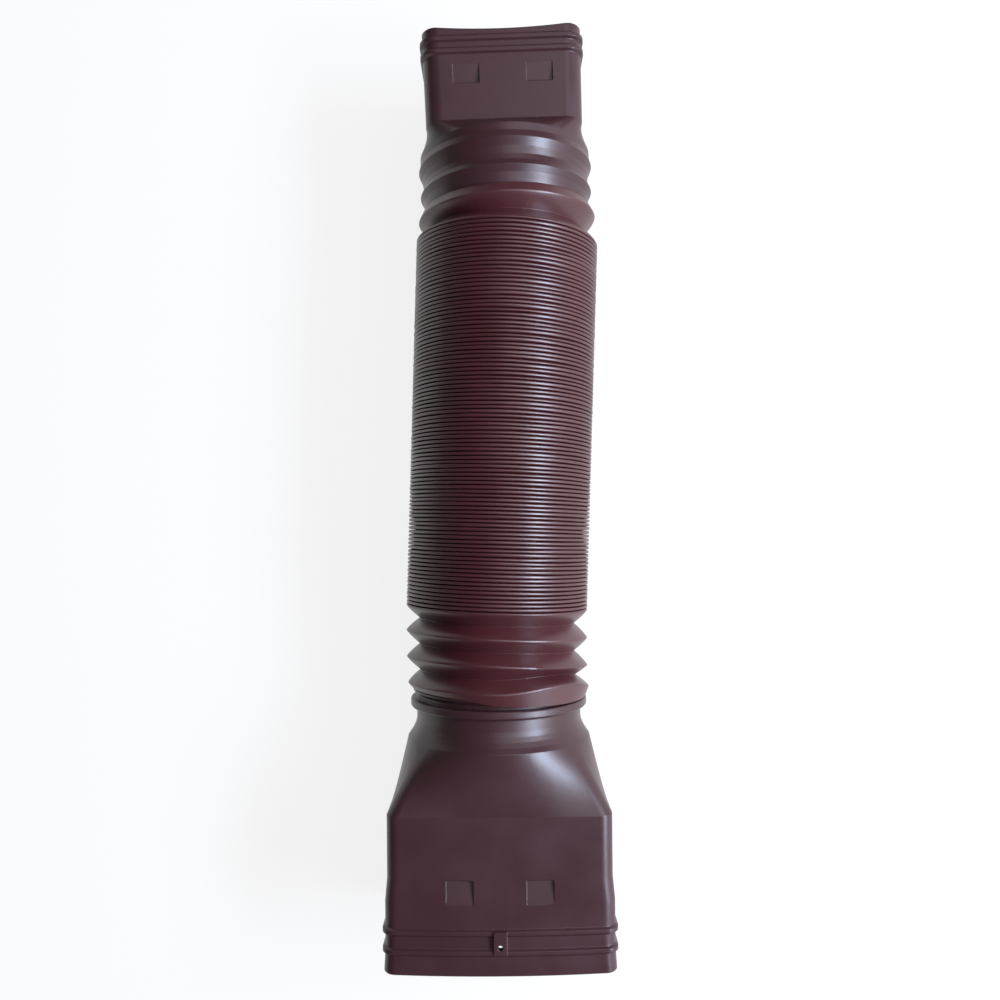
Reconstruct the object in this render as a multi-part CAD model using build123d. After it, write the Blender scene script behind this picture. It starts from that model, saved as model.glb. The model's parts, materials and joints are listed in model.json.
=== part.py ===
import os
from math import asin, cos, degrees, radians, sin, sqrt

from build123d import *

# Flexible downspout extension, lying on its pleats with the small mouth toward +Y.
# Three mouldings: a small adapter, a bellows that is almost all folded up, a large adapter.

# bellows
crest_r = 53.0            # outside of the pleats; every round size below steps in from it
pleat_depth = 7.8         # crest to valley
bellows_wall = 1.0
small_pitch = 14.3        # the open pleat at the small end
nested_pitch = 2.25       # one pleat folded onto the next
nested_pleats = 94
pleats_per_groove = 2     # the solid shows one groove for each pair of folded pleats
groove_depth = 1.5
# open crests at the large end: pitch, shift across the floor, turn in degrees; the last is the cuff
large_crests = ((15.6, 0.4, -0.9), (15.8, 1.0, -1.2), (13.7, 2.3, 0.2))
fold_land = 1.0           # narrow band where a pleat is folded
small_cuff_step = 1.5     # crest of the cuff over the small adapter, in from the pleats
cuff_lip = 5.2            # from the small cuff's crest to its edge
cuff_lip_drop = 2.7
skirt_length = 4.8        # from the large cuff's crest to its edge
skirt_drop = 1.9
small_bend = 3.7          # degrees in the plane of the floor, taken up by the open pleat
large_lean = 1.9          # degrees that the large adapter leans in its cuff, a gap open on one side
flange_gap = 0.3          # between skirt and flange on the closed side
snap_gap = 1.2            # between an adapter and the bellows over it

# small adapter, heights measured from its snap ring's crest toward the mouth
wave_crests = ((14.6, 3.0), (29.1, 2.5))      # height, and step in from the pleats
wave_valleys = ((7.4, 5.6), (20.8, 5.0))
collar_step = 3.6
collar_start = 33.0
collar_end = 37.2
small_body_start = 46.5
small_width = 87.8
small_depth = 66.2
small_corner = 9.5
small_wall = 1.7
small_mouth_grow = 1.2    # width and depth gained toward the mouth
small_length = 98.4       # snap ring to mouth at the corners
small_rim_dip = 2.4       # how far the mouth's long edges dip in the middle
small_ribs_back = (14.0, 7.2)     # back from the mouth
small_rib_height = 1.3
small_stop_back = 31.6            # deep end of the stops, back from the mouth
small_stop_length = 10.5
small_stop_x = 20.3

# large adapter, heights measured from its snap ring's crest toward the mouth
flange_step = 1.6
flange_width = 4.6
neck_step = 5.1
neck_end = 16.8           # where the neck starts to flare
shoulder = 27.5
facet_half_angle = 46.0   # of the flat that runs from the shoulder circle to a wide face
corner_share = 9.0        # degrees of the shoulder circle that run to one corner
large_body_start = 61.5
large_width_over = 8.0    # half width, out from the pleats
large_depth_under = 3.5   # half depth, in from the pleats, so that a rib rests with them
large_corner = 7.0
large_wall = 1.8
large_body_bow = 0.6      # outward bow of the wide faces at the body's start
large_mouth_bow = 2.4     # and at the mouth
large_mouth_grow = 2.4    # width gained along the stops
large_rim_flare = 1.6     # width gained past the last rib
large_length = 145.5
large_ribs_back = (23.1, 12.7)    # back from the mouth
large_rib_height = 1.3
large_stop_back = 50.6            # deep end of the stops, back from the mouth
large_stop_length = 12.9
large_stop_x = 21.5

# both adapters
rib_width = 4.0
lip_chamfer = 0.6
stop_width = 14.6
stop_depth = 2.2
neck_wall = 1.8

# screw boss in the channel between the large adapter's ribs
boss_width = 7.2
boss_back = 1.2           # boss starts this far behind the first rib's middle
screw_on = 1.9            # screw hole's middle, from the channel's middle toward the mouth
boss_height = 2.2
screw_r = 1.45

os.makedirs("parts", exist_ok=True)

cone_wall = bellows_wall * sqrt(2)       # wall measured along the radius of a 45 degree cone
snap_gap_r = snap_gap * sqrt(2)
valley_r = crest_r - pleat_depth
bore_r = valley_r - cone_wall
stack_length = nested_pleats * nested_pitch
small_cuff_r = crest_r - small_cuff_step
collar_r = crest_r - collar_step
flange_r = crest_r - flange_step
neck_r = crest_r - neck_step
shoulder_r = crest_r                     # the shoulder and the pleats rest on the same floor
large_width = 2 * (crest_r + large_width_over)
large_depth = 2 * (crest_r - large_depth_under)
small_ribs = [small_length - back for back in small_ribs_back]
large_ribs = [large_length - back for back in large_ribs_back]
small_stop_deep = small_length - small_stop_back
large_stop_deep = large_length - large_stop_back


def walk(start, heading, steps):
    """Sections along a path that turns a little with each step: (centre, heading, radius)."""
    x, y = start
    sections = []
    for length, turn, radius in steps:
        heading += turn / 2
        x += length * -sin(radians(heading))
        y += length * cos(radians(heading))
        heading += turn / 2
        sections.append(((x, y), heading, radius))
    return sections


def circle_at(centre, heading, radius):
    across = Plane(
        origin=(centre[0], centre[1], 0),
        x_dir=(0, 0, 1),
        z_dir=(-sin(radians(heading)), cos(radians(heading)), 0),
    )
    return Wire.make_circle(radius, across)


def shifted(section, along):
    (x, y), heading, radius = section
    return (x - along * sin(radians(heading)), y + along * cos(radians(heading))), heading, radius


def tube_end(start, folds, edge):
    """Open pleats: a narrow band at each fold outside, a sharp fold inside."""
    half = fold_land / 2
    outside = [start] + [shifted(fold, step) for fold in folds for step in (-half, half)] + [edge]
    inside = [(centre, heading, radius - cone_wall) for centre, heading, radius in [start] + folds + [edge]]
    skins = [Solid.make_loft([circle_at(*section) for section in side], ruled=True)
             for side in (outside, inside)]
    return skins[0] - skins[1]


# folded stack, from y = 0 at the large end to stack_length, grooves outside and a plain bore
grooves = nested_pleats // pleats_per_groove
groove_pitch = stack_length / grooves
outline = [(bore_r, 0), (crest_r, 0)]
for i in range(grooves):
    outline.append((crest_r - groove_depth, (i + 0.5) * groove_pitch))
    outline.append((crest_r, (i + 1) * groove_pitch))
outline.append((bore_r, stack_length))
stack = revolve(make_face(Polyline(*outline, close=True)), Axis.Y)

# open pleats and skirt at the large end, each crest shifted and turned a little
start = ((0, 0), 180, crest_r)
folds = []
for pitch, shift, turn in large_crests:
    (last_x, last_y), last_heading, _ = folds[-1] if folds else start
    for share, radius in ((0.5, valley_r), (1, crest_r)):
        centre = (last_x + (shift - last_x) * share, last_y - pitch * share)
        folds.append((centre, last_heading + (180 + turn - last_heading) * share, radius))
large_cuff = folds[-1]
centre, heading, _ = shifted(large_cuff, skirt_length)
large_end = tube_end(start, folds, (centre, heading, crest_r - skirt_drop))

# one open pleat and a lipped cuff at the small end
half_pleat = small_pitch / 2
turn = small_bend / 2
start = ((0, stack_length), 0, crest_r)
folds = walk(start[0], start[1], [(half_pleat, turn, valley_r), (half_pleat, turn, small_cuff_r)])
small_cuff = folds[-1]
centre, heading, _ = shifted(small_cuff, cuff_lip)
small_end = tube_end(start, folds, (centre, heading, small_cuff_r - cuff_lip_drop))

bellows = stack + large_end + small_end


def adapter_plane(cuff, turn_x):
    """Local +Z runs from the snap ring toward the mouth, +X stays across the floor."""
    centre, heading, _ = cuff
    toward_mouth = Vector(-sin(radians(heading)), cos(radians(heading)), 0)
    across = turn_x * Vector(cos(radians(heading)), sin(radians(heading)), 0)
    return Plane(origin=(centre[0], centre[1], 0), x_dir=across, z_dir=toward_mouth)


def arc(a, b, c, z):
    return ThreePointArc((*a, z), (*b, z), (*c, z))


def polar(radius, angle):
    return (radius * cos(radians(angle)), radius * sin(radians(angle)))


def mirror_round(quarter, z):
    """Eight edges from the half of one wide side, a corner and the half of one narrow side."""
    (wx, wy), wide_mid, corner_mid, (nx, ny), narrow_mid = quarter
    top = (wx, wy)
    side = (nx, ny)
    return Wire([
        arc((-wx, wy), (0, wide_mid), top, z),
        arc(top, corner_mid, side, z),
        arc(side, (narrow_mid, 0), (nx, -ny), z),
        arc((nx, -ny), (corner_mid[0], -corner_mid[1]), (wx, -wy), z),
        arc((wx, -wy), (0, -wide_mid), (-wx, -wy), z),
        arc((-wx, -wy), (-corner_mid[0], -corner_mid[1]), (-nx, -ny), z),
        arc((-nx, -ny), (-narrow_mid, 0), (-nx, ny), z),
        arc((-nx, ny), (-corner_mid[0], corner_mid[1]), (-wx, wy), z),
    ])


def box_section(z, width, depth, corner, bow):
    """Rounded rectangle whose wide sides bow outward."""
    x, y = width / 2, depth / 2
    middle = corner * (1 - sqrt(0.5))
    least_bow = 0.05
    return mirror_round(
        ((x - corner, y), y + bow + least_bow, (x - middle, y - middle), (x, y - corner), x + least_bow), z
    )


def round_section(z, radius, half_angle, share):
    """Circle cut at the angles that run to the ends of a box section's corners."""
    first, last = 90 - half_angle, 90 - half_angle - share
    return mirror_round(
        (polar(radius, first), radius, polar(radius, (first + last) / 2), polar(radius, last), radius), z
    )


def rib_rise(z, ribs, height):
    """Height of the skin over the plain wall at z, for ribs with sloped flanks."""
    for middle in ribs:
        off = abs(z - middle)
        if off <= rib_width / 2 - 1:
            return height
        if off < rib_width / 2:
            return height * (rib_width / 2 - off)
    return 0.0


def rib_levels(ribs):
    half = rib_width / 2
    return [middle + step for middle in ribs for step in (-half, 1 - half, half - 1, half)]


def stop_cut(sign, x, face, deep_z, flush_z):
    """Ramped pocket pressed into a wide face: full depth at deep_z, flush at flush_z."""
    outline = make_face(Polyline(
        (0, sign * (face + 3), flush_z), (0, sign * face, flush_z),
        (0, sign * (face - stop_depth), deep_z), (0, sign * (face + 3), deep_z), close=True,
    ))
    return extrude(outline.moved(Location((x - stop_width / 2, 0, 0))), stop_width, dir=(1, 0, 0))


def stop_back(sign, x, face, deep_z, flush_z, wall):
    """Wall that follows the pocket on the inside, which the inserted pipe meets."""
    past = deep_z - wall if flush_z > deep_z else deep_z + wall
    outline = make_face(Polyline(
        (0, sign * (face - wall / 2), flush_z), (0, sign * (face - wall), flush_z),
        (0, sign * (face - stop_depth - wall), deep_z), (0, sign * (face - stop_depth - wall), past),
        (0, sign * (face - wall / 2), past), close=True,
    ))
    width = stop_width + 2 * wall
    return extrude(outline.moved(Location((x - width / 2, 0, 0))), width, dir=(1, 0, 0))


def add_stops(body, x, face_at, deep_z, flush_z, wall):
    face = face_at((deep_z + flush_z) / 2, x)
    places = [(sign, side * x) for sign in (1, -1) for side in (1, -1)]
    for sign, at in places:
        body += stop_back(sign, at, face, deep_z, flush_z, wall)
    for sign, at in places:
        body -= stop_cut(sign, at, face, deep_z, flush_z)
    return body


def turned(points):
    """Solid of revolution about local Z from (radius, height) points, closed on the axis."""
    line = [(0, points[0][1])] + points + [(0, points[-1][1])]
    return revolve(make_face(Polyline(*[(r, 0, z) for r, z in line], close=True)), Axis.Z)


def neck_hollow(line):
    """Way for water through a neck, a wall in from its outline and open behind its snap ring."""
    inner = [(r - neck_wall, z) for r, z in line]
    return turned([(inner[0][0], inner[0][1] - 1)] + inner)


def snap_ring(crest, pitch, bend):
    """Ring inside a cuff, a gap in from the bellows' inner face, and how far its neck reaches back."""
    ring_r = crest - cone_wall - snap_gap_r
    room = pitch / 2 - 2 * fold_land - valley_r * sin(radians(bend / 2))
    return ring_r, min(ring_r - bore_r + snap_gap, room)


# small adapter in its own frame
ring_r, ring_back = snap_ring(small_cuff_r, small_pitch, small_bend)
turns = [(crest_r - step, z) for z, step in sorted(wave_valleys + wave_crests)]
waves = turns[:1]
for i, (r, z) in enumerate(turns[1:], 1):      # a quarter of the way down at half way: round valleys
    valley_side = min(r, turns[i - 1][0])
    waves += [(valley_side + abs(r - turns[i - 1][0]) / 4, (z + turns[i - 1][1]) / 2), (r, z)]
ring_foot = (waves[0][0] - 0.4, waves[0][1] - 1.6)
small_neck = turned(
    [(ring_r - ring_back, -ring_back), (ring_r, -fold_land / 2), (ring_r, fold_land / 2), ring_foot]
    + waves + [(collar_r, collar_start), (collar_r, collar_end)]
)
small_bore = neck_hollow(
    [(ring_r - ring_back, -ring_back), (ring_r, 0)] + waves + [(collar_r, collar_start), (collar_r, collar_end)]
)


def small_size(z):
    grown = small_mouth_grow * (z - small_body_start) / (small_length - small_body_start)
    rise = 2 * rib_rise(z, small_ribs, small_rib_height)
    return small_width + grown + rise, small_depth + grown + rise


def small_box(z, inset):
    width, depth = small_size(z) if inset == 0 else (
        small_size(z)[0] - 2 * inset, small_size(z)[1] - 2 * inset)
    return box_section(z, width, depth, small_corner - inset, 0)


small_round_angle = degrees(asin((small_width / 2 - small_corner) / collar_r)) - 8
levels = [small_body_start] + rib_levels(small_ribs) + [small_length - lip_chamfer]
small_shell = Solid.make_loft(
    [round_section(collar_end, collar_r, small_round_angle, corner_share * 2)]
    + [small_box(z, 0) for z in levels]
    + [box_section(small_length, small_size(small_length)[0] - 2 * lip_chamfer,
                   small_size(small_length)[1] - 2 * lip_chamfer, small_corner - lip_chamfer, 0)],
    ruled=True,
)
small_hollow = Solid.make_loft(
    [round_section(collar_end, collar_r - neck_wall, small_round_angle, corner_share * 2)]
    + [small_box(z, small_wall) for z in (small_body_start, small_length + 1)],
    ruled=True,
)
small_adapter = small_neck + small_shell - small_hollow - small_bore
small_adapter = add_stops(
    small_adapter, small_stop_x, lambda z, x: small_size(z)[1] / 2,
    small_stop_deep, small_stop_deep + small_stop_length, small_wall,
)
half = small_width
rim = make_face([
    ThreePointArc((-small_width / 2, 0, small_length), (0, 0, small_length - small_rim_dip),
                  (small_width / 2, 0, small_length)),
    Polyline((small_width / 2, 0, small_length), (half, 0, small_length), (half, 0, small_length + 9),
             (-half, 0, small_length + 9), (-half, 0, small_length), (-small_width / 2, 0, small_length)),
])
small_adapter -= extrude(rim, half, both=True)

# large adapter in its own frame
ring_r, ring_back = snap_ring(crest_r, large_crests[-1][0], large_crests[-1][2] - large_crests[-2][2])
flange_start = skirt_length + flange_gap
flange_end = flange_start + flange_width
under_skirt_r = crest_r - skirt_drop - cone_wall - snap_gap_r
flare = [
    (neck_r + (shoulder_r - neck_r) * t ** 1.6, neck_end + (shoulder - neck_end) * t)
    for t in (0, 0.25, 0.5, 0.75, 1)
]
large_neck = turned(
    [(ring_r - ring_back, -ring_back), (ring_r, -fold_land / 2), (ring_r, fold_land / 2),
     (under_skirt_r - 1, flange_start - 2.5), (under_skirt_r - 1, flange_start),
     (flange_r - 0.5, flange_start), (flange_r, flange_start + 0.8), (flange_r, flange_end - 0.8),
     (flange_r - 0.6, flange_end), (neck_r, flange_end + 0.8)]
    + flare
)
large_bore = neck_hollow(
    [(ring_r - ring_back, -ring_back), (ring_r, 0), (neck_r, flange_start - 2.5)] + flare
)


def large_size(z):
    run = (z - large_stop_deep) / large_stop_length
    past_rib = max((z - large_ribs[-1]) / (large_length - large_ribs[-1]), 0)
    grown = large_mouth_grow * min(max(run, 0), 1) + large_rim_flare * past_rib
    rise = 2 * rib_rise(z, large_ribs, large_rib_height)
    return large_width + grown + rise, large_depth + rise


def large_bow(z):
    share = (z - large_body_start) / (large_length - large_body_start)
    return large_body_bow + (large_mouth_bow - large_body_bow) * share


def large_box(z, inset):
    width, depth = large_size(z)
    return box_section(z, width - 2 * inset, depth - 2 * inset, large_corner - inset, large_bow(z))


stop_levels = [large_stop_deep, large_stop_deep + large_stop_length]
last_plain = large_ribs[-1] - rib_width / 2
levels = [large_body_start] + stop_levels + rib_levels(large_ribs) + [large_length - lip_chamfer]
large_shell = Solid.make_loft(
    [round_section(shoulder, shoulder_r, facet_half_angle, corner_share)]
    + [large_box(z, 0) for z in levels]
    + [large_box(large_length, lip_chamfer)],
    ruled=True,
)
large_hollow = Solid.make_loft(
    [round_section(shoulder, shoulder_r - neck_wall, facet_half_angle, corner_share)]
    + [large_box(z, large_wall) for z in [large_body_start] + stop_levels + [last_plain, large_length + 1]],
    ruled=True,
)


def large_face(z, x):
    width, depth = large_size(z)
    return depth / 2 + large_bow(z) * (1 - (2 * x / width) ** 2)


large_adapter = large_neck + large_shell - large_hollow - large_bore
large_adapter = add_stops(
    large_adapter, large_stop_x, large_face,
    large_stop_deep, large_stop_deep + large_stop_length, large_wall,
)

# screw boss from the first rib over the channel and the second rib, on the upper wide face
channel_z = sum(large_ribs) / 2
channel_face = large_face(channel_z, 0)
boss_length = large_ribs[1] - large_ribs[0] + rib_width / 2
screw_z = channel_z + screw_on
boss = Box(boss_width, boss_height + large_wall / 2, boss_length, align=(Align.CENTER, Align.MAX, Align.MIN))
boss = boss.moved(Location((0, channel_face + boss_height, large_ribs[0] - boss_back)))
screw_hole = Cylinder(screw_r, 4 * (boss_height + large_wall), rotation=(90, 0, 0))
screw_hole = screw_hole.moved(Location((0, channel_face, screw_z)))
large_adapter = large_adapter + boss - screw_hole

# into the part's frame: on the floor, centred over it
small_adapter = adapter_plane(small_cuff, 1).location * small_adapter
centre, heading, _ = shifted(large_cuff, flange_r * sin(radians(large_lean)))
large_adapter = adapter_plane((centre, heading + large_lean, None), -1).location * large_adapter
pieces = {"small_adapter": small_adapter, "bellows": bellows, "large_adapter": large_adapter}
whole = Compound(children=[Compound(piece.solids()) for piece in pieces.values()]).bounding_box()
place = Location((-whole.center().X, -whole.center().Y, -whole.min.Z))
for name, piece in pieces.items():
    solids = piece.solids()
    shape = solids[0] if len(solids) == 1 else Compound(solids)
    export_step(place * shape, f"parts/{name}.step")
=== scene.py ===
from math import pi, radians
import bpy
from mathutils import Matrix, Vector
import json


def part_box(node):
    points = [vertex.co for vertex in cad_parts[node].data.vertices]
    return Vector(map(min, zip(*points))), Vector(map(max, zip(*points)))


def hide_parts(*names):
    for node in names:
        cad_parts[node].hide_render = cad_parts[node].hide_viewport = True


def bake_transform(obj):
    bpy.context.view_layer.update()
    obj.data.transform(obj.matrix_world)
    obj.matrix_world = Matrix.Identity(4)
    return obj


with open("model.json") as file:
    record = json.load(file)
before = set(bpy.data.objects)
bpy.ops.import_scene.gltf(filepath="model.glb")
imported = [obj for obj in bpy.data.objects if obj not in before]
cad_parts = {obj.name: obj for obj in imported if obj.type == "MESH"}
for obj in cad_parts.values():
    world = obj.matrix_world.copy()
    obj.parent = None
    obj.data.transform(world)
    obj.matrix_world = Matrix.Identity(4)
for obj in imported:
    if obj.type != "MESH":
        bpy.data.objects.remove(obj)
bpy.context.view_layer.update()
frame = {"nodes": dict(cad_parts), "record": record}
print("frame loaded:", ", ".join(frame["nodes"]))


def toLinear(hexColour):
    # sRGB hex to the linear colour that the shaders take
    parts = [int(hexColour[i:i + 2], 16) / 255 for i in (1, 3, 5)]
    return tuple(c / 12.92 if c <= 0.04045 else ((c + 0.055) / 1.055) ** 2.4 for c in parts) + (1.0,)


def addNode(tree, kind, settings, inputs):
    # one node with its settings, its values and the links that feed it
    node = tree.nodes.new(kind)
    for name, value in settings.items():
        setattr(node, name, value)
    for socket, value in inputs.items():
        if isinstance(value, bpy.types.NodeSocket):
            tree.links.new(value, node.inputs[socket])
        else:
            node.inputs[socket].default_value = value
    return node


# bellows: a pleated tube, folded up except at its two ends, in metres and radians
joint = frame["record"]["behaviour"]["joints"][0]
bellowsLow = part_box("bellows")[0]
bellows = {
    "Around": 90,              # steps round the tube
    "Steps": 8,                # steps from one crest to the next
    "Folded Pleats": 94,
    "Folded Pitch": 0.00225,
    "Crest Radius": 0.053,
    "Pleat Depth": 0.0078,
    "Wall": 0.0014,            # along the radius
    "Skirt Length": 0.0048,    # large end, from the cuff's crest to its edge
    "Skirt Drop": 0.0019,
    "Pitch 3": 0.0137,         # open crests at the large end, the cuff is the third
    "Pitch 2": 0.0158,
    "Pitch 1": 0.0156,
    "Shift 3": 0.0023,         # across the floor
    "Shift 2": 0.0010,
    "Shift 1": 0.0004,
    "Turn 3": radians(0.2),    # seen from above
    "Turn 2": radians(-1.2),
    "Turn 1": radians(-0.9),
    "Skirt Nod": radians(0.4), # the upper half leans toward the stack
    "Nod 3": radians(2.3),
    "Nod 2": radians(3.7),
    "Nod 1": radians(1.9),
    "Lift 3": 0.0047,          # the cuff's crest, high up on its right
    "Skirt Pull": 0.0031,      # the skirt has sprung back from the flange on the left
    "Small Pitch": 0.0143,     # one open pleat at the small end
    "Small Shift": -0.00046,
    "Small Turn": radians(3.7),
    "Small Cuff Step": 0.0015,
    "Lip Length": 0.0052,
    "Lip Drop": 0.0027,
    "Lip Shift": -0.0008,
    "Open Power": 1.2,         # 1 is a straight cone from crest to valley
    "Folded Power": 7.0,       # higher is a rounder crest over a narrower gap
    "Folded Depth": 0.0045,
    "Open Warp": 0.6,          # draws the steps to the crests
    "Folded Warp": -0.35,      # draws the steps to the valleys
    "Crease Angle": radians(75),    # sharper folds than this are drawn as creases
    "Unevenness": 0.0002,      # how far a fold strays from its place
    "Fold Change": 0.9,        # how much the straying differs from fold to fold
    "Seed": 7.0,
    "Lift Power": 1.5,         # higher keeps the cuff's lift closer to its corner
    "Pull From": 0.15,         # cosine where the skirt's pull starts, and where it is whole
    "Pull Full": -0.55,
    "Merge Distance": 1e-5,
}
stackFrom = 4.0                # the skirt and three open pleats come before the folded stack
wholeInputs = ("Around", "Steps", "Folded Pleats")
stackLength = bellows["Folded Pleats"] * bellows["Folded Pitch"]
stackEnd = joint["deforming_nodes"][0]["fixed_end_y_m"]     # where the folded stack meets the small end
stackStart = Vector((bellowsLow.x + bellows["Crest Radius"], stackEnd - stackLength, bellows["Crest Radius"]))


def bellowsTree(material):
    tree = bpy.data.node_groups.new("pleatedTube", "GeometryNodeTree")
    for name, value in bellows.items():
        kind = "NodeSocketInt" if name in wholeInputs else "NodeSocketFloat"
        tree.interface.new_socket(name, in_out="INPUT", socket_type=kind).default_value = value
    tree.interface.new_socket("Geometry", in_out="OUTPUT", socket_type="NodeSocketGeometry")
    given = addNode(tree, "NodeGroupInput", {}, {})
    known = {name: given.outputs[name] for name in bellows}

    def work(steps):
        # each step names a value, its operation and what goes in: an earlier value or a number
        for name, operation, *sources in steps:
            inputs = {i: known[s] if isinstance(s, str) else s for i, s in enumerate(sources)}
            settings = {"operation": operation, "label": name}
            known[name] = addNode(tree, "ShaderNodeMath", settings, inputs).outputs[0]

    # zones by pleat number: skirt 0 to 1, open crests 1 to 4, folded stack, small pleat, lip
    work([
        ("stack to", "ADD", "Folded Pleats", stackFrom),
        ("lip from", "ADD", "stack to", 1.0),
        ("lip to", "ADD", "lip from", 1.0),
        ("stack length", "MULTIPLY", "Folded Pleats", "Folded Pitch"),
        # rows: the outer skin at every step, back along the inner skin at every half pleat,
        # then the first row again
        ("outer steps", "MULTIPLY", "lip to", "Steps"),
        ("stride", "DIVIDE", "Steps", 2.0),
        ("inner steps", "DIVIDE", "outer steps", "stride"),
        ("last row", "ADD", "outer steps", "inner steps"),
        ("last row", "ADD", "last row", 2.0),
        ("row count", "ADD", "last row", 1.0),
        ("column count", "ADD", "Around", 1.0),
    ])
    grid = addNode(tree, "GeometryNodeMeshGrid", {}, {
        "Size X": known["Around"], "Size Y": known["last row"],
        "Vertices X": known["column count"], "Vertices Y": known["row count"],
    })
    place = addNode(tree, "GeometryNodeInputPosition", {}, {})
    split = addNode(tree, "ShaderNodeSeparateXYZ", {}, {0: place.outputs[0]})
    known["grid x"], known["grid y"] = split.outputs[0], split.outputs[1]
    work([
        ("column", "MULTIPLY_ADD", "Around", 0.5, "grid x"),
        ("round", "DIVIDE", "column", "Around"),
        ("angle", "MULTIPLY", "round", 2 * pi),
        ("cos", "COSINE", "angle"),
        ("sin", "SINE", "angle"),
        ("row", "MULTIPLY_ADD", "last row", 0.5, "grid y"),
        ("row", "ROUND", "row"),
        ("past outer", "SUBTRACT", "row", "outer steps"),
        ("inner row", "SUBTRACT", "past outer", 1.0),
        ("inner row", "MULTIPLY", "inner row", "stride"),
        ("inner row", "SUBTRACT", "outer steps", "inner row"),
        ("step", "MINIMUM", "row", "inner row"),
        ("step", "MAXIMUM", "step", 0.0),
        ("past outer", "GREATER_THAN", "past outer", 0.5),
        ("before last", "LESS_THAN", "row", "last row"),
        ("inner skin", "MULTIPLY", "past outer", "before last"),
        ("pleat", "DIVIDE", "step", "Steps"),
        ("after start", "GREATER_THAN", "pleat", stackFrom),
        ("before end", "LESS_THAN", "pleat", "stack to"),
        ("folded", "MULTIPLY", "after start", "before end"),
        ("warp", "SUBTRACT", "Folded Warp", "Open Warp"),
        ("warp", "MULTIPLY_ADD", "folded", "warp", "Open Warp"),
        ("swing", "MULTIPLY", "pleat", 2 * pi),
        ("swing", "SINE", "swing"),
        ("swing", "MULTIPLY", "swing", -0.5 / pi),
        ("pleat", "MULTIPLY_ADD", "swing", "warp", "pleat"),
        ("along", "ADD", "Skirt Length", "Pitch 3"),       # 0 at the large end of the folded stack
        ("along", "ADD", "along", "Pitch 2"),
        ("along", "ADD", "along", "Pitch 1"),
        ("along", "MULTIPLY", "along", -1.0),
        ("shift", "ADD", "Shift 3", 0.0),
        ("turn", "ADD", "Turn 3", 0.0),
        ("nod", "ADD", "Skirt Nod", 0.0),
        ("none", "ADD", 0.0, 0.0),
    ])

    # along, shift, turn and nod change zone by zone
    zones = (
        (0.0, 1.0, "Skirt Length", (
            ("nod", "Skirt Nod", "Nod 3"),)),
        (1.0, 2.0, "Pitch 3", (
            ("shift", "Shift 3", "Shift 2"), ("turn", "Turn 3", "Turn 2"), ("nod", "Nod 3", "Nod 2"))),
        (2.0, 3.0, "Pitch 2", (
            ("shift", "Shift 2", "Shift 1"), ("turn", "Turn 2", "Turn 1"), ("nod", "Nod 2", "Nod 1"))),
        (3.0, stackFrom, "Pitch 1", (
            ("shift", "Shift 1", "none"), ("turn", "Turn 1", "none"), ("nod", "Nod 1", "none"))),
        (stackFrom, "stack to", "stack length", ()),
        ("stack to", "lip from", "Small Pitch", (
            ("shift", "none", "Small Shift"), ("turn", "none", "Small Turn"))),
        ("lip from", "lip to", "Lip Length", (
            ("shift", "Small Shift", "Lip Shift"),)),
    )
    for low, high, length, changes in zones:
        low, high = (known[end] if isinstance(end, str) else end for end in (low, high))
        known["share"] = addNode(tree, "ShaderNodeMapRange", {}, {
            "Value": known["pleat"], "From Min": low, "From Max": high,
            "To Min": 0.0, "To Max": 1.0}).outputs[0]
        work([("along", "MULTIPLY_ADD", "share", length, "along")])
        for name, before, after in changes:
            work([("change", "SUBTRACT", after, before), (name, "MULTIPLY_ADD", "share", "change", name)])

    # radius: crest, less the pleat's depth, the drop of a cuff's edge and the wall
    shares = (
        ("skirt share", 0.0, 1.0, 1.0, 0.0),
        ("lip share", "lip from", "lip to", 0.0, 1.0),
        ("small share", "stack to", "lip from", 0.0, 1.0),
    )
    for name, low, high, near, far in shares:
        low, high = (known[end] if isinstance(end, str) else end for end in (low, high))
        known[name] = addNode(tree, "ShaderNodeMapRange", {}, {
            "Value": known["pleat"], "From Min": low, "From Max": high,
            "To Min": near, "To Max": far}).outputs[0]
    work([
        ("phase", "PINGPONG", "pleat", 0.5),
        ("fold", "MULTIPLY", "phase", 2.0),        # 0 at a crest, 1 in a valley
        ("extra power", "SUBTRACT", "Folded Power", "Open Power"),
        ("power", "MULTIPLY_ADD", "folded", "extra power", "Open Power"),
        ("fold", "POWER", "fold", "power"),
        ("after skirt", "GREATER_THAN", "pleat", 1.0),
        ("before lip", "LESS_THAN", "pleat", "lip from"),
        ("fold", "MULTIPLY", "fold", "after skirt"),
        ("fold", "MULTIPLY", "fold", "before lip"),
        ("extra depth", "SUBTRACT", "Folded Depth", "Pleat Depth"),
        ("depth", "MULTIPLY_ADD", "folded", "extra depth", "Pleat Depth"),
        ("fold", "MULTIPLY", "fold", "depth"),
        ("skirt drop", "MULTIPLY", "skirt share", "Skirt Drop"),
        ("lip drop", "MULTIPLY", "lip share", "Lip Drop"),
        ("cuff step", "MULTIPLY", "small share", "Small Cuff Step"),
        ("inner wall", "MULTIPLY", "inner skin", "Wall"),
        ("radius", "SUBTRACT", "Crest Radius", "fold"),
        ("radius", "SUBTRACT", "radius", "skirt drop"),
        ("radius", "SUBTRACT", "radius", "lip drop"),
        ("radius", "SUBTRACT", "radius", "cuff step"),
        ("radius", "SUBTRACT", "radius", "inner wall"),
        ("fold number", "MULTIPLY_ADD", "pleat", "Fold Change", "Seed"),
    ])

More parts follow.
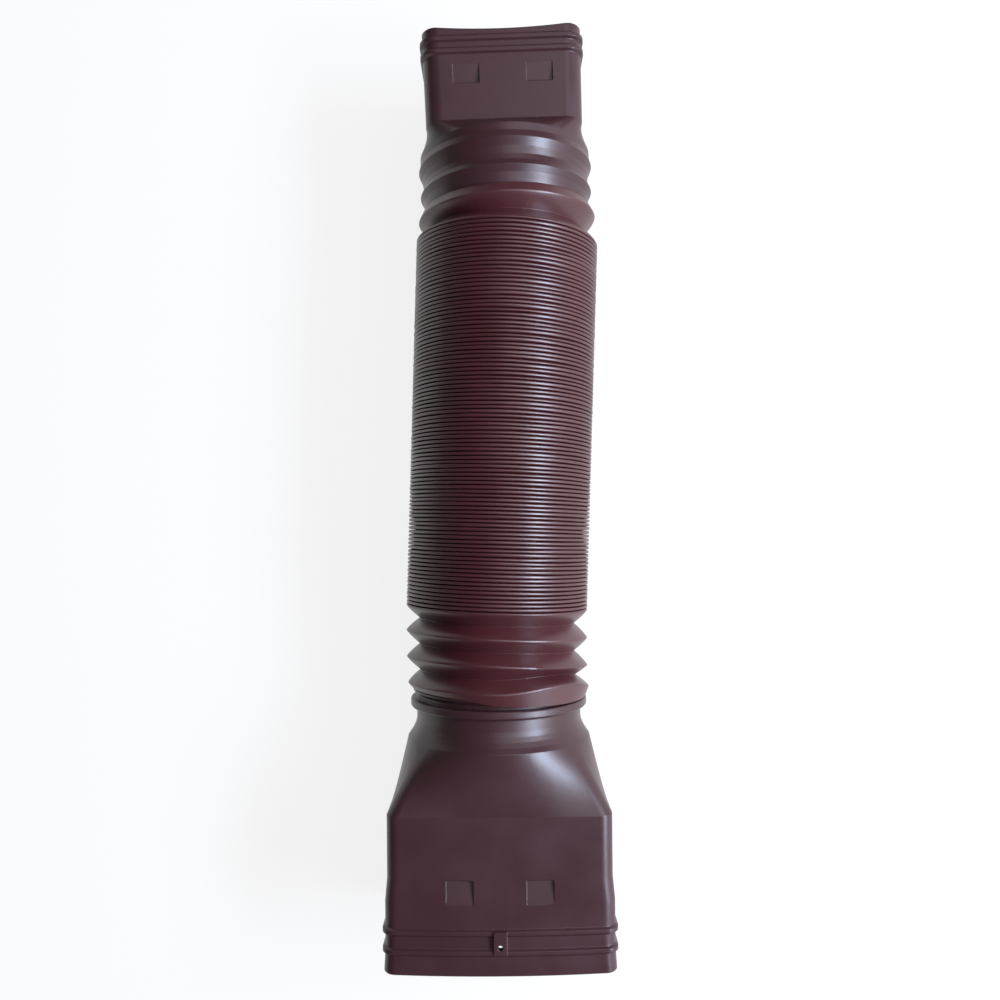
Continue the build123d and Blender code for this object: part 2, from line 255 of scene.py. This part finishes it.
    # each fold strays a little, and differently round the tube
    spot = addNode(tree, "ShaderNodeCombineXYZ", {}, {
        0: known["cos"], 1: known["fold number"], 2: known["sin"]})
    stray = addNode(tree, "ShaderNodeTexNoise", {}, {
        "Vector": spot.outputs[0], "Scale": 1.0, "Detail": 1.0, "Roughness": 0.5})
    known["stray"] = stray.outputs[0]
    work([
        ("stray", "SUBTRACT", "stray", 0.5),
        ("stray", "MULTIPLY", "stray", "folded"),
        ("stray", "MULTIPLY", "stray", "Unevenness"),
        ("stray", "MULTIPLY", "stray", 4.0),       # noise seldom leaves the middle half of its range
        ("radius", "ADD", "radius", "stray"),
        ("along", "ADD", "along", "stray"),
        ("x", "MULTIPLY", "radius", "cos"),
        ("z", "MULTIPLY", "radius", "sin"),
        ("along", "MULTIPLY_ADD", "turn", "x", "along"),
        ("x", "ADD", "x", "shift"),
        ("top", "MAXIMUM", "z", 0.0),
        ("along", "MULTIPLY_ADD", "nod", "top", "along"),
        ("right", "MAXIMUM", "cos", 0.0),
        ("above", "MAXIMUM", "sin", 0.0),
        ("corner", "MULTIPLY", "right", "above"),
        ("corner", "MULTIPLY", "corner", 2.0),
        ("corner", "POWER", "corner", "Lift Power"),
        ("from crest", "SUBTRACT", "pleat", 1.0),
        ("from crest", "ABSOLUTE", "from crest"),
        ("near crest", "SUBTRACT", 1.0, "from crest"),
        ("near crest", "MAXIMUM", "near crest", 0.0),
        ("lift", "MULTIPLY", "corner", "near crest"),
        ("along", "MULTIPLY_ADD", "lift", "Lift 3", "along"),
    ])
    known["left"] = addNode(tree, "ShaderNodeMapRange", {"interpolation_type": "SMOOTHSTEP"}, {
        "Value": known["cos"], "From Min": known["Pull From"], "From Max": known["Pull Full"],
        "To Min": 0.0, "To Max": 1.0}).outputs[0]
    work([
        ("pull", "MULTIPLY", "left", "skirt share"),
        ("along", "MULTIPLY_ADD", "pull", "Skirt Pull", "along"),
    ])

    where = addNode(tree, "ShaderNodeCombineXYZ", {}, {0: known["x"], 1: known["along"], 2: known["z"]})
    placed = addNode(tree, "ShaderNodeVectorMath", {"operation": "ADD"}, {0: where.outputs[0], 1: stackStart})
    shaped = addNode(tree, "GeometryNodeSetPosition", {}, {
        "Geometry": grid.outputs["Mesh"], "Position": placed.outputs[0]})
    closed = addNode(tree, "GeometryNodeMergeByDistance", {}, {
        "Geometry": shaped.outputs[0], "Distance": known["Merge Distance"]})
    smooth = addNode(tree, "GeometryNodeSetShadeSmooth", {}, {0: closed.outputs[0]})
    bend = addNode(tree, "GeometryNodeInputMeshEdgeAngle", {}, {})
    sharp = addNode(tree, "FunctionNodeCompare", {"operation": "GREATER_THAN"}, {
        0: bend.outputs["Unsigned Angle"], 1: known["Crease Angle"]})
    creased = addNode(tree, "GeometryNodeSetShadeSmooth", {"domain": "EDGE"}, {
        "Geometry": smooth.outputs[0], "Selection": sharp.outputs[0], "Shade Smooth": False})
    real = addNode(tree, "GeometryNodeRealizeInstances", {}, {0: creased.outputs[0]})
    finished = addNode(tree, "GeometryNodeSetMaterial", {}, {
        "Geometry": real.outputs[0], "Material": material})
    addNode(tree, "NodeGroupOutput", {}, {0: finished.outputs[0]})
    return tree


def makeBellows(material):
    tree = bellowsTree(material)
    holder = bpy.data.objects.new("bellowsNodes", bpy.data.meshes.new("bellowsNodes"))
    bpy.context.scene.collection.objects.link(holder)
    modifier = holder.modifiers.new("pleats", "NODES")
    modifier.node_group = tree
    for item in tree.interface.items_tree:
        if item.in_out == "INPUT":
            modifier[item.identifier] = bellows[item.name]
    evaluated = holder.evaluated_get(bpy.context.evaluated_depsgraph_get())
    mesh = bpy.data.meshes.new_from_object(evaluated)
    holder.modifiers.remove(modifier)
    bpy.data.objects.remove(holder)
    tube = bpy.data.objects.new("pleated_tube", mesh)
    bpy.context.scene.collection.objects.link(tube)
    return tube


# plastics
plastics = {
    "adapter": {
        "main": "#3a1e22", "cloud": "#402428", "roughness": 0.37,
        "gloss": 0.60, "bump": 0.08, "edge": 0.0007},
    "bellows": {
        "main": "#42181b", "cloud": "#4b1e22", "roughness": 0.38,
        "gloss": 0.85, "bump": 0.05, "edge": 0.0004},
    "cloudSize": 0.025,        # pigment clouds
    "skinSize": 0.0012,        # mould skin, drawn coarser than it is so that it shows
    "skinHeight": 0.0004,
    "glossSpread": 0.05,       # how far the roughness strays with the clouds
    "index": 1.49,
}


def mouldedPlastic(name, look):
    # half-gloss moulded polyolefin: soft highlights broken by the fine skin of the mould
    material = bpy.data.materials.new(name)
    material.use_nodes = True
    tree = material.node_tree
    tree.nodes.clear()
    coordinates = addNode(tree, "ShaderNodeTexCoord", {}, {})
    clouds = addNode(tree, "ShaderNodeTexNoise", {}, {
        "Vector": coordinates.outputs["Object"], "Scale": 1 / plastics["cloudSize"],
        "Detail": 3.0, "Roughness": 0.55})
    colour = addNode(tree, "ShaderNodeMix", {"data_type": "RGBA"}, {
        0: clouds.outputs[0], 6: toLinear(look["main"]), 7: toLinear(look["cloud"])})
    skin = addNode(tree, "ShaderNodeTexNoise", {}, {
        "Vector": coordinates.outputs["Object"], "Scale": 1 / plastics["skinSize"],
        "Detail": 2.0, "Roughness": 0.5})
    gloss = addNode(tree, "ShaderNodeMapRange", {}, {
        "Value": clouds.outputs[0], "From Min": 0.3, "From Max": 0.7,
        "To Min": look["roughness"] - plastics["glossSpread"],
        "To Max": look["roughness"] + plastics["glossSpread"]})
    edges = addNode(tree, "ShaderNodeBevel", {"samples": 6}, {     # a mould has no sharp edges
        "Radius": look["edge"]})
    bump = addNode(tree, "ShaderNodeBump", {}, {
        "Height": skin.outputs[0], "Strength": look["bump"], "Distance": plastics["skinHeight"],
        "Normal": edges.outputs[0]})
    surface = addNode(tree, "ShaderNodeBsdfPrincipled", {}, {
        "Base Color": colour.outputs[2], "Roughness": gloss.outputs[0], "IOR": plastics["index"],
        "Specular IOR Level": look["gloss"], "Normal": bump.outputs[0]})
    addNode(tree, "ShaderNodeOutputMaterial", {}, {"Surface": surface.outputs[0]})
    return material


adapterPlastic = mouldedPlastic("injection moulded polypropylene", plastics["adapter"])
bellowsPlastic = mouldedPlastic("blow moulded polyethylene", plastics["bellows"])

tube = makeBellows(bellowsPlastic)
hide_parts("bellows")
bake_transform(tube)
print("bellows:", len(tube.data.polygons), "faces")

for name in ("small_adapter", "large_adapter"):
    node = frame["nodes"][name]
    node.data.materials.clear()
    node.data.materials.append(adapterPlastic)
print("adapters: plastic set")

# floor, lamps, world and camera
stage = {
    "floorSize": 40.0,
    "floorDrop": 0.0004,        # just under the pleats
    "floorGlow": 0.85,          # share of the floor that is plain white to the camera
    "floorGrey": 0.22,          # the floor in what it throws back at the object
    "floorPaper": 0.9,          # and as it is seen
    "world": 0.12,
    "worldColour": (0.97, 0.98, 1.0, 1.0),
    "windowPower": 15.0,        # the key, a soft window on the right
    "windowColour": (0.92, 0.94, 1.0),
    "windowSize": (0.48, 1.2),
    "windowAt": (0.958, -0.03, 0.928),
    "windowTilt": radians(47.5),
    "skyPower": 17.0,           # blue sky in the middle of the window
    "skyColour": (0.52, 0.70, 1.0),
    "skySize": (0.26, 0.8),
    "skyAt": (0.944, -0.03, 0.914),
    "skyTilt": radians(47.5),
    "wallPower": 8.0,           # a pale wall, low on the right
    "wallColour": (1.0, 0.95, 0.96),
    "wallSize": (0.9, 2.4),
    "wallAt": (1.5, -0.03, 0.5),
    "wallTilt": radians(80),
    "ceilingPower": 8.0,        # weak, over the right half only
    "ceilingColour": (0.97, 0.97, 1.0),
    "ceilingSize": (0.9, 1.8),
    "ceilingAt": (0.45, 0.6, 1.5),
    "ceilingTilt": 0.0,
}

bpy.ops.mesh.primitive_plane_add(size=stage["floorSize"], location=(0, 0, -stage["floorDrop"]))
floor = bpy.context.object
floor.name = "floor"
paper = bpy.data.materials.new("white paper sweep")     # plain and matt, white to the camera
paper.use_nodes = True
tree = paper.node_tree
tree.nodes.clear()
rays = addNode(tree, "ShaderNodeLightPath", {}, {})
seen = addNode(tree, "ShaderNodeMath", {"operation": "MAXIMUM"}, {
    0: rays.outputs["Is Camera Ray"], 1: rays.outputs["Is Glossy Ray"]})
seen = addNode(tree, "ShaderNodeMath", {"operation": "MAXIMUM"}, {
    0: seen.outputs[0], 1: rays.outputs["Is Transmission Ray"]})
share = addNode(tree, "ShaderNodeMath", {"operation": "MULTIPLY"}, {
    0: seen.outputs[0], 1: stage["floorGlow"]})
shade = addNode(tree, "ShaderNodeMix", {"data_type": "RGBA"}, {
    0: seen.outputs[0], 6: (stage["floorGrey"],) * 3 + (1.0,), 7: (stage["floorPaper"],) * 3 + (1.0,)})
matt = addNode(tree, "ShaderNodeBsdfDiffuse", {}, {"Color": shade.outputs[2]})
white = addNode(tree, "ShaderNodeEmission", {}, {"Color": (1.0, 1.0, 1.0, 1.0), "Strength": 1.0})
mixed = addNode(tree, "ShaderNodeMixShader", {}, {
    0: share.outputs[0], 1: matt.outputs[0], 2: white.outputs[0]})
addNode(tree, "ShaderNodeOutputMaterial", {}, {"Surface": mixed.outputs[0]})
floor.data.materials.append(paper)

world = bpy.data.worlds.new("room")
world.use_nodes = True
background = world.node_tree.nodes["Background"]
background.inputs["Color"].default_value = stage["worldColour"]
background.inputs["Strength"].default_value = stage["world"]
bpy.context.scene.world = world

for name in ("window", "sky", "wall", "ceiling"):
    lamp = bpy.data.lights.new(name, "AREA")
    lamp.shape = "RECTANGLE"
    lamp.size, lamp.size_y = stage[name + "Size"]
    lamp.energy = stage[name + "Power"]
    lamp.color = stage[name + "Colour"]
    holder = bpy.data.objects.new(name, lamp)
    holder.location = stage[name + "At"]
    holder.rotation_euler = (0, stage[name + "Tilt"], 0)
    bpy.context.scene.collection.objects.link(holder)

camera = {
    "at": (-0.0064, -0.0218, 0.5664),     # straight above, half a metre over the pleats
    "roll": radians(1.6),
    "lens": 31.32,
    "sensor": 36.0,
    "shiftY": 0.031,
    "near": 0.01,
}
eye = bpy.data.cameras.new("eye")
eye.lens = camera["lens"]
eye.sensor_width = camera["sensor"]
eye.shift_y = camera["shiftY"]
eye.clip_start = camera["near"]
eyeHolder = bpy.data.objects.new("eye", eye)
eyeHolder.location = camera["at"]
eyeHolder.rotation_euler = (0, 0, camera["roll"])
bpy.context.scene.collection.objects.link(eyeHolder)
bpy.context.scene.camera = eyeHolder
bpy.context.scene.view_settings.view_transform = "Standard"
print("stage and camera set")
